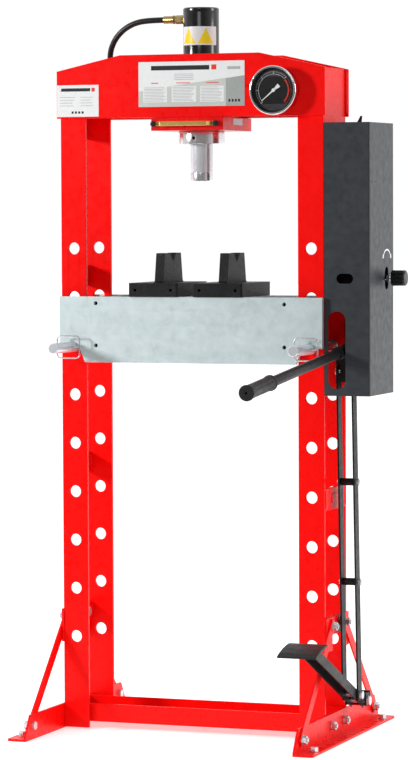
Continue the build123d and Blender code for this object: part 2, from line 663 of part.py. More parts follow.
def build_pump():
    save("pump_housing", pump_housing())
    save("pump_mount", pump_mount())
    pin = rod("X", BOX_X[0] + 1, LEVER_X + 27, 7, *FULCRUM)
    pin += rod("X", LEVER_X + 25.5, LEVER_X + 30, 10, *FULCRUM)
    pivot_y, pivot_z = PEDAL_PIVOT
    pivot = rod("X", LEVER_X - 27, LEVER_X + 26, 6, pivot_y, pivot_z)
    pivot += hexagon("X", LEVER_X + 25.5, LEVER_X + 32, 19, pivot_y, pivot_z)
    pivot += rod("X", LEVER_X - 27.5, LEVER_X - 23.5, 9, pivot_y, pivot_z)
    save("pivot_pins", pin, pivot)

    wall_x = BOX_X[0] + 5
    tank = block(wall_x, 402, 5, 88, 1075, 1322)
    tank = fillet(tank.edges(), 6)
    tank -= fillet(block(wall_x + 3, 399, 8, 85, 1078, 1319).edges(), 3)
    filler_x, filler_y = 372.0, 46.0
    tank -= rod("Z", 1310, 1330, 8, filler_x, filler_y)
    save("oil_tank", tank)
    plug = rod("Z", 1319, 1322, 8 - SLIDE_FIT, filler_x, filler_y) + rod("Z", 1322, 1332, 12, filler_x, filler_y)
    save("filler_plug", plug)

    valve_y, valve_z = VALVE
    body = block(wall_x, 386, -45, 84, 985, 1075)
    body = chamfer(body.edges().filter_by(Axis.Z), 3)
    body -= rod("Z", 984, 1010, 14 + SLIDE_FIT, LEVER_X, PLUNGER_Y)
    body -= rod("Z", 1009, 1018, 8 + SLIDE_FIT, LEVER_X, PLUNGER_Y)
    body -= rod("X", 362, 387, 6 + SLIDE_FIT, valve_y, valve_z)
    body -= rod("Z", 1060, 1076, 6 + SLIDE_FIT, *HOSE_END)
    save("pump_body", body)
    barrel = rod("Z", 925, 1010, 14, LEVER_X, PLUNGER_Y) + hexagon("Z", 965, 985, 36, LEVER_X, PLUNGER_Y)
    barrel -= rod("Z", 920, 1012, 8 + SLIDE_FIT, LEVER_X, PLUNGER_Y)
    save("pump_barrel", barrel)
    rocker_top = FULCRUM[1] + 9
    save("pump_plunger", rod("Z", rocker_top + 1.2, 990, 8, LEVER_X, PLUNGER_Y))
    fitting = rod("Z", 1062, 1075, 6, *HOSE_END)
    fitting += hexagon("Z", 1075, 1090, 17, *HOSE_END)
    fitting += rod("Z", 1090, HOSE_ROUTE[-1][2], 8.5, *HOSE_END)
    save("pump_hose_fitting", fitting)

    stem = rod("X", 362.5, 431, 6, valve_y, valve_z)
    stem += hexagon("X", 419.5, 427, 19, valve_y, valve_z)
    stem += rod("X", 427, 431, 9, valve_y, valve_z)
    save("release_valve", stem)
    knob = rod("X", 431, 463, 17.5, valve_y, valve_z)
    knob = fillet(knob.edges().group_by(Axis.X)[-1], 4)
    for step in range(12):
        angle = math.radians(30 * step)
        y = valve_y + 19 * math.cos(angle)
        z = valve_z + 19 * math.sin(angle)
        knob -= rod("X", 430, 458, 2.6, y, z)
    save("valve_knob", knob)


def lever_point(distance, lift=0.0):
    """A (Y, Z) point on the lever's axis, distance mm in front of the fulcrum, raised square to it."""
    y = FULCRUM[0] - distance
    z = FULCRUM[1] + LEVER_RISE + lift
    return turned(y, z, FULCRUM, -LEVER_DROOP)


def lever_rod(start, end, radius):
    """A round bar on the lever's axis between two distances from the fulcrum."""
    y0, z0 = lever_point(start)
    y1, z1 = lever_point(end)
    direction = Vector(0, y1 - y0, z1 - z0)
    plane = Plane(origin=(LEVER_X, y0, z0), z_dir=direction)
    return extrude(plane * Circle(radius), direction.length)


def build_lever():
    half = 11.0
    outline = [
        (PLUNGER_Y + 8, FULCRUM[1] - 7),
        (PLUNGER_Y + 8, FULCRUM[1] + 3),
        (FULCRUM[0] + 11, FULCRUM[1] + 5),
        lever_point(0, -4),
        lever_point(45, -4),
        (ROCKER_EYE[0] - 12, ROCKER_EYE[1] + 8),
        (ROCKER_EYE[0] - 9, ROCKER_EYE[1] - 10),
        (FULCRUM[0], FULCRUM[1] - 16),
    ]
    rocker = side_plate(outline, LEVER_X - half, LEVER_X + half)
    rocker += rod("X", LEVER_X - half, LEVER_X + half, 9, PLUNGER_Y, FULCRUM[1])
    rocker += lever_rod(0, 92, 15)
    rocker -= lever_rod(6, 93, LEVER_R + SLIDE_FIT)
    rocker -= rod("X", LEVER_X - 20, LEVER_X + 20, 7 + SLIDE_FIT, *FULCRUM)
    rocker -= rod("X", LEVER_X - 20, LEVER_X + 20, 5 + SLIDE_FIT, *ROCKER_EYE)
    save("lever_rocker", rocker)
    eye_bolt = rod("X", LEVER_X - 22, LEVER_X + 22, 5, *ROCKER_EYE)
    eye_bolt += hexagon("X", LEVER_X + 19.8, LEVER_X + 26, 15, *ROCKER_EYE)
    eye_bolt += rod("X", LEVER_X - 23.5, LEVER_X - 19.8, 8, *ROCKER_EYE)
    save("rocker_eye_bolt", eye_bolt)
    save("lever_tube", lever_rod(6.2, LEVER_END - 3, LEVER_R))

    grip = lever_rod(LEVER_END - GRIP_LENGTH, LEVER_END, GRIP_R)
    collar_length, collar_r = GRIP_COLLAR
    for start in (LEVER_END - GRIP_LENGTH, LEVER_END - collar_length):
        collar = lever_rod(start, start + collar_length, collar_r)
        grip += fillet(collar.edges().filter_by(GeomType.CIRCLE), 3)
    for step in range(8):
        y, z = lever_point(LEVER_END - GRIP_LENGTH / 2)
        angle = math.radians(45 * step + 22.5)
        across = (GRIP_R + 1.2) * math.cos(angle)
        lift = (GRIP_R + 1.2) * math.sin(angle)
        start = lever_point(LEVER_END - GRIP_LENGTH + 26, lift)
        end = lever_point(LEVER_END - 26, lift)
        direction = Vector(0, end[0] - start[0], end[1] - start[1])
        plane = Plane(origin=(LEVER_X + across, *start), z_dir=direction)
        grip -= extrude(plane * Circle(2.4), direction.length)
    grip -= lever_rod(LEVER_END - GRIP_LENGTH - 1, LEVER_END - 2.9, LEVER_R + SLIDE_FIT)
    grip -= lever_rod(LEVER_END - 3, LEVER_END + 1, 3)
    save("lever_grip", grip)


def link_point(height):
    """The Y of the links' centre line at a height."""
    part = (height - PEDAL_EYE[1]) / (ROCKER_EYE[1] - PEDAL_EYE[1])
    return PEDAL_EYE[0] + part * (ROCKER_EYE[0] - PEDAL_EYE[0])


def build_links():
    spacer_heights = (571.0, 347.0)
    half = LINK_WIDTH / 2
    top_z = ROCKER_EYE[1] + half
    low_z = PEDAL_EYE[1] - half
    outline = [
        (link_point(low_z) - half, low_z),
        (link_point(low_z) + half, low_z),
        (link_point(top_z) + half, top_z),
        (link_point(top_z) - half, top_z),
    ]
    bars = []
    for side in (-1, 1):
        x = LEVER_X + side * LINK_X
        bar = side_plate(outline, x - LINK_THICK / 2, x + LINK_THICK / 2)
        bar = fillet(bar.edges().filter_by(Axis.X), 9)
        bar -= rod("X", x - 5, x + 5, 5 + 0.1, *ROCKER_EYE)
        bar -= rod("X", x - 5, x + 5, 7.5, *PEDAL_EYE)
        for z in spacer_heights:
            bar -= rod("X", x - 5, x + 5, 4 + SLIDE_FIT, link_point(z), z)
        bars.append(bar)
    save("link_bars", *bars)

    inner = LINK_X - LINK_THICK / 2
    outer = LINK_X + LINK_THICK / 2
    tubes = []
    bolts = []
    for z in spacer_heights:
        y = link_point(z)
        tube = rod("X", LEVER_X - inner, LEVER_X + inner, 8.2, y, z)
        tubes.append(tube - rod("X", LEVER_X - 30, LEVER_X + 30, 4 + SLIDE_FIT, y, z))
        bolt = rod("X", LEVER_X - outer - 4, LEVER_X + outer + 8, 4, y, z)
        bolt += hexagon("X", LEVER_X + outer, LEVER_X + outer + 6.5, 13, y, z)
        bolt += rod("X", LEVER_X - outer - 3.5, LEVER_X - outer, 7, y, z)
        bolts.append(bolt)
    save("link_spacers", *tubes)
    save("link_bolts", *bolts)


def arm_point(distance, lift=0.0):
    """A (Y, Z) point on the pedal arm, distance mm in front of its pivot, raised square to it."""
    return turned(PEDAL_PIVOT[0] - distance, PEDAL_PIVOT[1] + lift, PEDAL_PIVOT, PEDAL_SLOPE)


def arm_side(lift):
    """A side of the arm's outline, lift above its pivot: a point at the rear, and where it meets the pad."""
    rear = Vector(*arm_point(-10, lift))
    along = Vector(*arm_point(0, lift)) - rear
    slope = along.Y / along.X
    pad_slope = (PAD_FRONT[1] - PAD_REAR[1]) / (PAD_FRONT[0] - PAD_REAR[0])
    y = (PAD_REAR[1] - rear.Y + slope * rear.X - pad_slope * PAD_REAR[0]) / (slope - pad_slope)
    return (rear.X, rear.Y), (y, rear.Y + slope * (y - rear.X))


def build_pedal():
    low, high = ARM_LIFT
    low_rear, low_front = arm_side(low)
    high_rear, high_front = arm_side(high)
    half = ARM_WIDTH / 2
    arm = side_plate([low_rear, low_front, high_front, high_rear], LEVER_X - half, LEVER_X + half)
    ceiling = high - ARM_WALL
    wide = half - ARM_WALL
    hollow = [arm_point(-12, low - 1), arm_point(370, low - 1), arm_point(370, ceiling), arm_point(-12, ceiling)]
    arm -= side_plate(hollow, LEVER_X - wide, LEVER_X + wide)
    for point, radius in ((PEDAL_PIVOT, 6 + SLIDE_FIT), (PEDAL_EYE, 5 + SLIDE_FIT)):
        arm -= rod("X", LEVER_X - 20, LEVER_X + 20, radius, *point)
    save("pedal_arm", arm)
    eye = rod("X", LEVER_X - 22, LEVER_X + 22, 5, *PEDAL_EYE)
    eye += hexagon("X", LEVER_X + 20, LEVER_X + 26, 17, *PEDAL_EYE)
    eye += rod("X", LEVER_X - 23.5, LEVER_X - 20, 9.5, *PEDAL_EYE)
    save("pedal_eye_bolt", eye)

    rear = Vector(*PAD_REAR)
    along = (Vector(*PAD_FRONT) - rear)
    across = Vector(along.Y, -along.X).normalized()
    # how far along the pad, from rear to front, and how thick it is there
    crown = ((0.0, 4.0), (0.2, 6.5), (0.5, 8.0), (0.8, 7.0), (1.0, 4.5))
    top = [rear + along * share + across * thick for share, thick in crown]
    gap = across * 0.1
    profile = [rear + gap] + top + [rear + along + gap]
    pad = side_plate([(c.X, c.Y) for c in profile], LEVER_X - PAD_HALF, LEVER_X + PAD_HALF)
    save("pedal_pad", pad)

    pivot_y, pivot_z = PEDAL_PIVOT
    low, high = 60.0, 95.0
    bracket = block(COLUMN_X, LEVER_X + 26, 72.5, 78, low, high)
    cheek_x = (LEVER_X - 23.5, LEVER_X + 21.5)
    for x in cheek_x:
        bracket += block(x, x + 4, 46, 76, low + 4, high - 3)
    bracket -= rod("X", COLUMN_X + 1, LEVER_X + 40, 6 + SLIDE_FIT, pivot_y, pivot_z)
    save("pedal_bracket", bracket)


# ================================================================ gauge
def build_gauge():
    back = GAUGE_BACK_Y
    front = back - GAUGE_DEEP
    case = rod("Y", back - 2, front, GAUGE_R - 3, GAUGE_X, GAUGE_Z)
    case += rod("Y", back, back - 4, GAUGE_R - 8, GAUGE_X, GAUGE_Z)
    case -= rod("Y", back - 6, front - 1, GAUGE_BORE_R, GAUGE_X, GAUGE_Z)
    case -= rod("Y", back + 1, back - 7, 5 + SLIDE_FIT, GAUGE_X, GAUGE_Z)
    save("gauge_case", case)
    rim = rod("Y", front + 6, front - 3, GAUGE_R, GAUGE_X, GAUGE_Z)
    rim = fillet(rim.edges().group_by(Axis.Y)[0], 3)
    rim -= rod("Y", front + 7, front, GAUGE_R - 3 + SLIDE_FIT, GAUGE_X, GAUGE_Z)
    rim -= rod("Y", front + 7, front - 4, GAUGE_BORE_R - 0.5, GAUGE_X, GAUGE_Z)
    save("gauge_rim", rim)
    glass = rod("Y", front + 2.5, front, GAUGE_BORE_R - SLIDE_FIT, GAUGE_X, GAUGE_Z)
    save("gauge_glass", glass)
    dial = rod("Y", front + 9, front + 7, GAUGE_BORE_R - SLIDE_FIT, GAUGE_X, GAUGE_Z)
    dial -= rod("Y", front + 10, front + 6, 2.3, GAUGE_X, GAUGE_Z)
    save("gauge_dial", dial)
    # the pointer rests at the low end of the scale, down and to the left
    rest = math.radians(220)
    along = Vector(math.cos(rest), 0, math.sin(rest))
    across = Vector(-along.Z, 0, along.X)
    hub = Vector(GAUGE_X, 0, GAUGE_Z)
    tip = hub + along * 36
    tail = hub - along * 17
    # half its width at the tail, at the hub and at the tip
    widths = ((tail, 4.5), (hub, 1.5), (tip, 0.7))
    corners = [place + across * half for place, half in widths]
    corners += [place - across * half for place, half in reversed(widths)]
    pointer = front_plate([(c.X, c.Z) for c in corners], front + 4.5, front + 5.5)
    pointer += rod("Y", front + 3.5, front + 6, 3.6, GAUGE_X, GAUGE_Z)
    pointer += rod("Y", front + 6, front + 13, 2, GAUGE_X, GAUGE_Z)
    save("gauge_pointer", pointer)
    stem = rod("Y", back - 6, back + 26, 5, GAUGE_X, GAUGE_Z)
    stem += hexagon("Y", back + PLATE, back + 20, 17, GAUGE_X, GAUGE_Z)
    save("gauge_stem", stem)


# ================================================================ hose
def hose_path(route):
    """Straight runs joined by the largest arcs that they leave room for."""
    points = [Vector(*p) for p in route]
    radii = []
    for before, here, after in zip(points, points[1:], points[2:]):
        turn = math.radians((here - before).get_angle(after - here))
        shorter = min((here - before).length, (after - here).length)
        radii.append(0.45 * shorter / math.tan(turn / 2))
    print("hose radii", [round(r) for r in radii])
    return FilletPolyline(*points, radius=radii)


def build_hose():
    path = hose_path(HOSE_ROUTE)
    section = Plane(origin=path @ 0, z_dir=path % 0) * Circle(HOSE_R)
    hose = sweep(section, path=path)
    expected = math.pi * HOSE_R ** 2 * path.length
    print("hose length", round(path.length), "volume against section", round(hose.volume / expected, 4))
    save("hydraulic_hose", hose)


build_frame()
build_base()
build_carriage()
build_ram()
build_bed()
build_v_blocks()
build_pins()
build_pump()
build_lever()
build_links()
build_pedal()
build_gauge()
build_hose()
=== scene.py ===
"""Looks for the hydraulic shop press: materials, decals, welds, hose, gauge face, lights and camera.

Metres, in the CAD frame: X to the pump side, Y to the back, Z up, origin on the floor."""
import bpy
import bmesh
import math
import random
from mathutils import Matrix, Vector


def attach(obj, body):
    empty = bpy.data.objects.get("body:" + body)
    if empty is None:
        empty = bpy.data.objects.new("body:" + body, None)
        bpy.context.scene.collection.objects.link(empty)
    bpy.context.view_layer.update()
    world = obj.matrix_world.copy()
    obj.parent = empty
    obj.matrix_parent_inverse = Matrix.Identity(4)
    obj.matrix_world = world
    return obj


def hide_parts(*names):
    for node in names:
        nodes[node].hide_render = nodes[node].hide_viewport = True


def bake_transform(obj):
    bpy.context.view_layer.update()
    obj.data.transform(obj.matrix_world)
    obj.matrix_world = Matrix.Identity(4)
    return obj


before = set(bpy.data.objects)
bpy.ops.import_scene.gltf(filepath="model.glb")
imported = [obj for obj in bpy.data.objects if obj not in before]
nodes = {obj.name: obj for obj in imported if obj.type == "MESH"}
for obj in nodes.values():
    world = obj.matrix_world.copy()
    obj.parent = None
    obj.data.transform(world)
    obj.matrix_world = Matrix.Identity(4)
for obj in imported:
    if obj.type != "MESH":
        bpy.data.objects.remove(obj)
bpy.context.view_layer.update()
rng = random.Random(7)
scene = bpy.context.scene

# ---------------------------------------------------------------- camera
CAMERA_PLACE = Vector((2.6446, -7.1378, 1.1908))
CAMERA_YAW = math.radians(20.322)
CAMERA_PITCH = math.radians(2.995)
CAMERA_ROLL = math.radians(-0.250)
CAMERA_LENS = 160.1


def make_camera():
    """The camera, aimed by its yaw, its downward pitch and its roll."""
    level = Vector((-math.sin(CAMERA_YAW), math.cos(CAMERA_YAW), 0))
    ahead = level * math.cos(CAMERA_PITCH) - Vector((0, 0, math.sin(CAMERA_PITCH)))
    right = Vector((math.cos(CAMERA_YAW), math.sin(CAMERA_YAW), 0))
    up = right.cross(ahead)
    rolled = right * math.cos(CAMERA_ROLL) + up * math.sin(CAMERA_ROLL)
    up = rolled.cross(ahead)
    turn = Matrix((rolled, up, -ahead)).transposed()
    data = bpy.data.cameras.new("camera")
    data.lens = CAMERA_LENS
    data.sensor_width = 36
    data.clip_end = 100
    camera = bpy.data.objects.new("camera", data)
    camera.matrix_world = Matrix.Translation(CAMERA_PLACE) @ turn.to_4x4()
    scene.collection.objects.link(camera)
    scene.camera = camera


make_camera()

# ---------------------------------------------------------------- hose
HOSE_RADIUS = 0.0066
HOSE_ROUTE = (
    (-0.0905, 0, 1.603),
    (-0.124, 0, 1.603),
    (-0.160, 0.0015, 1.599),
    (-0.192, 0.005, 1.584),
    (-0.217, 0.011, 1.560),
    (-0.232, 0.020, 1.528),
    (-0.231, 0.031, 1.490),
    (-0.212, 0.043, 1.456),
    (-0.176, 0.052, 1.433),
    (-0.131, 0.057, 1.422),
    (-0.084, 0.059, 1.420),
    (-0.034, 0.059, 1.4205),
    (0.016, 0.059, 1.420),
    (0.066, 0.058, 1.4205),
    (0.116, 0.056, 1.420),
    (0.164, 0.052, 1.419),
    (0.206, 0.044, 1.412),
    (0.240, 0.034, 1.394),
    (0.262, 0.022, 1.366),
    (0.273, 0.008, 1.330),
    (0.279, -0.006, 1.292),
    (0.285, -0.016, 1.254),
    (0.299, -0.022, 1.221),
    (0.320, -0.024, 1.192),
    (0.3405, -0.024, 1.166),
    (0.3515, -0.024, 1.137),
    (0.3515, -0.024, 1.108),
)


def curve_object(name, points, radius):
    """A smooth tube whose centre line is a NURBS spline with these control points."""
    data = bpy.data.curves.new(name, "CURVE")
    data.dimensions = "3D"
    data.resolution_u = 6
    spline = data.splines.new("NURBS")
    spline.points.add(len(points) - 1)
    for point, place in zip(spline.points, points):
        point.co = (*place, 1)
    spline.order_u = 3
    spline.use_endpoint_u = True
    data.bevel_depth = radius
    data.bevel_resolution = 6
    data.use_fill_caps = True
    obj = bpy.data.objects.new(name, data)
    scene.collection.objects.link(obj)
    return obj


def as_mesh(obj):
    """The object with its curve turned into a mesh."""
    bpy.context.view_layer.update()
    depsgraph = bpy.context.evaluated_depsgraph_get()
    mesh = bpy.data.meshes.new_from_object(obj.evaluated_get(depsgraph))
    made = bpy.data.objects.new(obj.name + "_mesh", mesh)
    scene.collection.objects.link(made)
    bpy.data.objects.remove(obj)
    return made


def add_hose():
    line = as_mesh(curve_object("hose_line", HOSE_ROUTE, 0))
    bpy.data.objects.remove(line)
    tube = as_mesh(curve_object("hose_tube", HOSE_ROUTE, HOSE_RADIUS))
    tube.name = "hydraulic_hose_tube"
    for face in tube.data.polygons:
        face.use_smooth = True
    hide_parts("hydraulic_hose")
    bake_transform(tube)
    return tube


hose = add_hose()

# ---------------------------------------------------------------- return spring
SPRING_X = -0.002
SPRING_Z = (1.3428, 1.5572)   # lowest and highest point of the wire's centre line
SPRING_TURNS = 8
SPRING_RADIUS = 0.0296
WIRE_RADIUS = 0.0024
TURN_POINTS = 12


def add_spring():
    """The coil between the cylinder's foot and the piston, made at one fixed length; the real one shortens as
    the ram comes down.
    """
    low, high = SPRING_Z
    control_radius = SPRING_RADIUS / math.cos(math.pi / TURN_POINTS)
    count = SPRING_TURNS * TURN_POINTS
    points = []
    for index in range(count + 1):
        turn = 2 * math.pi * index / TURN_POINTS
        height = low + (high - low) * index / count
        points.append((SPRING_X + control_radius * math.cos(turn), control_radius * math.sin(turn), height))
    coil = as_mesh(curve_object("return_spring_coil", points, WIRE_RADIUS))
    for face in coil.data.polygons:
        face.use_smooth = True
    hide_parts("return_spring")
    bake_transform(coil)
    return coil


spring = add_spring()


# ---------------------------------------------------------------- materials
class Surface:
    """A procedural material built up from the object's own coordinates."""

    def __init__(self, name):
        self.material = bpy.data.materials.new(name)
        self.material.use_nodes = True
        self.tree = self.material.node_tree
        self.shader = self.tree.nodes["Principled BSDF"]
        self.place = self.tree.nodes.new("ShaderNodeTexCoord").outputs["Object"]
        self.height = None

    def add(self, kind, inputs=(), **settings):
        """A node with its settings, and its inputs by name: a socket is linked, a number is set."""
        node = self.tree.nodes.new(kind)
        for key, value in settings.items():
            setattr(node, key, value)
        for key, value in dict(inputs).items():
            self.put(node.inputs[key], value)
        return node

    def put(self, socket, value):
        if isinstance(value, bpy.types.NodeSocket):
            self.tree.links.new(value, socket)
        else:
            socket.default_value = value

    def stretched(self, scale):
        """The coordinates scaled by a different amount along each axis."""
        node = self.add("ShaderNodeMapping", {"Vector": self.place, "Scale": scale})
        return node.outputs["Vector"]

    def noise(self, scale, detail=3.0, roughness=0.55, where=None):
        inputs = {"Vector": where or self.place, "Scale": scale, "Detail": detail, "Roughness": roughness}
        return self.add("ShaderNodeTexNoise", inputs).outputs["Fac"]

    def remap(self, value, low, high, to_low, to_high):
        inputs = {"Value": value, "From Min": low, "From Max": high, "To Min": to_low, "To Max": to_high}
        return self.add("ShaderNodeMapRange", inputs).outputs["Result"]

    def mix(self, amount, first, second):
        """A blend of two colours; 6 and 7 are the node's colour inputs and 2 its colour output."""
        node = self.add("ShaderNodeMix", data_type="RGBA")
        self.put(node.inputs["Factor"], amount)
        self.put(node.inputs[6], first if isinstance(first, bpy.types.NodeSocket) else (*first, 1))
        self.put(node.inputs[7], second if isinstance(second, bpy.types.NodeSocket) else (*second, 1))
        return node.outputs[2]

    def bump(self, value, strength, depth):
        """Adds one layer of relief, depth in metres, on top of any before it."""
        inputs = {"Height": value, "Strength": strength, "Distance": depth}
        if self.height is not None:
            inputs["Normal"] = self.height
        self.height = self.add("ShaderNodeBump", inputs).outputs["Normal"]

    def finish(self, colour, roughness, **sockets):
        self.put(self.shader.inputs["Base Color"], colour)
        self.put(self.shader.inputs["Roughness"], roughness)
        if self.height is not None:
            self.put(self.shader.inputs["Normal"], self.height)
        for key, value in sockets.items():
            self.put(self.shader.inputs[key.replace("_", " ")], value)
        return self.material


def painted(name, colour, shade, roughness, peel=0.25, grime=(0.02, 0.012, 0.01), grime_share=0.25,
            coat=0.12, coat_roughness=0.15, gloss=0.5):
    """Powder coat: slow changes of shade, fine grain, orange peel and a little grime in patches."""
    s = Surface(name)
    patches = s.noise(3.0, 4)
    base = s.mix(s.remap(patches, 0.35, 0.65, 0, 1), colour, shade)
    dirt = s.noise(22.0, 6, 0.7)
    base = s.mix(s.remap(dirt, 0.62, 0.8, 0, grime_share), base, grime)
    grain = s.noise(700.0, 2)
    base = s.mix(s.remap(grain, 0.35, 0.7, 0, 0.12), base, shade)
    rough = s.remap(s.noise(60.0, 5), 0.3, 0.75, roughness * 0.8, roughness * 1.3)
    s.bump(s.noise(420.0, 2), peel, 0.0004)
    s.bump(s.noise(35.0, 3), 0.08, 0.001)
    return s.finish(base, rough, Coat_Weight=coat, Coat_Roughness=coat_roughness, Specular_IOR_Level=gloss)


def bare_metal(name, colour, shade, roughness, brushed=(1, 1, 1), brush_strength=0.05, scratch=0.15,
               metallic=1.0):
    """Bare or plated metal: brushed or turned marks, cloudy patches and fine scratches."""
    s = Surface(name)
    clouds = s.noise(14.0, 5, 0.6)
    base = s.mix(s.remap(clouds, 0.3, 0.7, 0, 1), colour, shade)
    marks = s.noise(260.0, 3, 0.6, where=s.stretched(brushed))
    base = s.mix(s.remap(marks, 0.55, 0.75, 0, scratch), base, tuple(c * 0.5 for c in colour))
    rough = s.remap(s.noise(90.0, 4, 0.7), 0.3, 0.7, roughness * 0.75, roughness * 1.35)
    s.bump(marks, brush_strength, 0.0002)
    return s.finish(base, rough, Metallic=metallic)


def zinc_plate(name):
    """Galvanised sheet: a faint crystal pattern, rolling streaks and dull handling marks."""
    s = Surface(name)
    crystals = s.add("ShaderNodeTexVoronoi", {"Vector": s.place, "Scale": 95.0, "Randomness": 1.0})
    tone = s.add("ShaderNodeSeparateColor", {"Color": crystals.outputs["Color"]}).outputs["Red"]
    base = s.mix(s.remap(tone, 0, 1, 0, 0.45), (0.57, 0.66, 0.67), (0.47, 0.55, 0.56))
    streaks = s.noise(9.0, 5, 0.65, where=s.stretched((0.35, 1, 5)))
    base = s.mix(s.remap(streaks, 0.4, 0.7, 0, 0.45), base, (0.64, 0.71, 0.72))
    stains = s.noise(6.0, 6, 0.7)
    base = s.mix(s.remap(stains, 0.6, 0.8, 0, 0.35), base, (0.38, 0.43, 0.44))
    rough = s.remap(s.noise(40.0, 5, 0.7), 0.3, 0.7, 0.34, 0.52)
    s.bump(tone, 0.06, 0.0003)
    s.bump(s.noise(300.0, 3, where=s.stretched((0.2, 1, 3))), 0.08, 0.0002)
    return s.finish(base, rough, Metallic=0.35)


def cast_iron(name):
    """A rough casting under dull black paint, with a gritty grain."""
    s = Surface(name)
    base = s.mix(s.remap(s.noise(18.0, 5), 0.3, 0.7, 0, 1), (0.006, 0.006, 0.007), (0.014, 0.014, 0.016))
    grit = s.noise(230.0, 5, 0.7)
    base = s.mix(s.remap(grit, 0.62, 0.78, 0, 0.35), base, (0.06, 0.06, 0.07))
    rough = s.remap(grit, 0.3, 0.7, 0.34, 0.55)
    s.bump(grit, 0.7, 0.0014)
    s.bump(s.noise(60.0, 4), 0.35, 0.002)
    return s.finish(base, rough, Specular_IOR_Level=0.14)


def moulded(name, colour, shade, roughness, grain=700.0, grain_strength=0.2):
    """Rubber or plastic: a fine moulded grain with dull, handled patches."""
    s = Surface(name)
    base = s.mix(s.remap(s.noise(30.0, 4), 0.35, 0.7, 0, 1), colour, shade)
    dust = s.noise(140.0, 6, 0.75)
    base = s.mix(s.remap(dust, 0.6, 0.8, 0, 0.25), base, tuple(min(1.0, c * 3 + 0.03) for c in colour))
    rough = s.remap(s.noise(55.0, 4), 0.3, 0.7, roughness * 0.8, roughness * 1.2)
    s.bump(s.noise(grain, 2), grain_strength, 0.0003)
    return s.finish(base, rough, Specular_IOR_Level=0.3)


def printed(name, colour, shade, roughness=0.35, metallic=0.0):
    """A printed label or screen-printed mark, with slightly uneven ink."""
    s = Surface(name)
    base = s.mix(s.remap(s.noise(120.0, 5, 0.7), 0.4, 0.7, 0, 1), colour, shade)
    rough = s.remap(s.noise(80.0, 3), 0.3, 0.7, roughness * 0.8, roughness * 1.25)
    s.bump(s.noise(600.0, 2), 0.05, 0.0001)
    return s.finish(base, rough, Metallic=metallic, Specular_IOR_Level=0.25)


def clear_glass(name):
    """A thin sheet that is nearly clear, with faint smears."""
    s = Surface(name)
    rough = s.remap(s.noise(50.0, 4, 0.7), 0.4, 0.8, 0.0, 0.06)
    tint = s.mix(s.remap(s.noise(20.0, 3), 0.3, 0.7, 0, 1), (0.02, 0.02, 0.02), (0.05, 0.05, 0.05))
    return s.finish(tint, rough, Alpha=0.05, Specular_IOR_Level=0.6)


RED = painted("red_powder_coat", (0.96, 0.004, 0.003), (0.88, 0.003, 0.002), 0.30,
              peel=0.05, grime_share=0.02, coat=0.0, gloss=0.12)
DEEP_RED = painted("deep_red_powder_coat", (0.80, 0.006, 0.006), (0.70, 0.005, 0.005), 0.28,
                   peel=0.08, grime_share=0.02, coat=0.02, gloss=0.2)
CHARCOAL = painted("charcoal_powder_coat", (0.022, 0.026, 0.032), (0.030, 0.034, 0.040), 0.40,
                   peel=0.3, grime=(0.08, 0.08, 0.08), grime_share=0.05, coat=0.02, gloss=0.4)
BLACK = painted("black_paint", (0.009, 0.009, 0.010), (0.014, 0.014, 0.015), 0.38,
                grime=(0.03, 0.03, 0.03), grime_share=0.1, coat=0.0, gloss=0.16)
GLOSS_BLACK = painted("gloss_black_paint", (0.005, 0.005, 0.006), (0.008, 0.008, 0.009), 0.16,
                      peel=0.1, grime=(0.02, 0.02, 0.02), grime_share=0.05, coat=0.15, coat_roughness=0.06)
ZINC = zinc_plate("galvanised_sheet")
BRIGHT_ZINC = bare_metal("zinc_fastener", (0.70, 0.73, 0.76), (0.55, 0.58, 0.62), 0.24, metallic=0.75)
PIN_ZINC = bare_metal("zinc_pin", (0.80, 0.83, 0.86), (0.68, 0.71, 0.75), 0.17, (1, 9, 1), 0.06,
                      metallic=0.45)
TURNED = bare_metal("turned_steel", (0.82, 0.83, 0.85), (0.72, 0.73, 0.75), 0.18, (1, 1, 9), 0.12,
                    metallic=0.88)
CHROME = bare_metal("chrome_plate", (0.82, 0.83, 0.85), (0.74, 0.75, 0.77), 0.09, (1, 1, 6), 0.02, 0.05)
WIRE = bare_metal("drawn_wire", (0.66, 0.66, 0.68), (0.5, 0.5, 0.52), 0.28, metallic=0.7)
BRASS = bare_metal("olive_brass", (0.42, 0.32, 0.13), (0.30, 0.22, 0.09), 0.30, (4, 1, 1), 0.08)
STRAP = bare_metal("yellow_passivated_steel", (0.95, 0.70, 0.20), (0.78, 0.50, 0.14), 0.20, metallic=0.7)
IRON = cast_iron("painted_casting")
RUBBER = moulded("rubber_grip", (0.012, 0.012, 0.012), (0.02, 0.02, 0.02), 0.55)
HOSE_RUBBER = moulded("hose_cover", (0.010, 0.010, 0.011), (0.018, 0.018, 0.018), 0.34, 500.0, 0.12)
PLASTIC = moulded("black_plastic", (0.010, 0.010, 0.010), (0.016, 0.016, 0.016), 0.28, 500.0, 0.08)
DIAL_BLACK = printed("dial_black", (0.003, 0.003, 0.004), (0.006, 0.006, 0.007), 0.6)
WHITE_INK = printed("white_ink", (0.95, 0.95, 0.95), (0.88, 0.88, 0.88))
RED_INK = printed("red_ink", (0.80, 0.05, 0.02), (0.7, 0.04, 0.02))
LABEL_WHITE = printed("label_white", (0.80, 0.81, 0.81), (0.76, 0.77, 0.77), 0.4)
LABEL_SILVER = printed("label_silver", (0.56, 0.58, 0.58), (0.50, 0.52, 0.52), 0.35, 0.3)
LABEL_PALE = printed("label_pale_grey", (0.56, 0.60, 0.56), (0.52, 0.56, 0.52), 0.4)
LABEL_MID = printed("label_mid_grey", (0.36, 0.38, 0.37), (0.32, 0.34, 0.33), 0.4)
LABEL_DARK = printed("label_dark", (0.015, 0.015, 0.018), (0.02, 0.02, 0.023), 0.4)
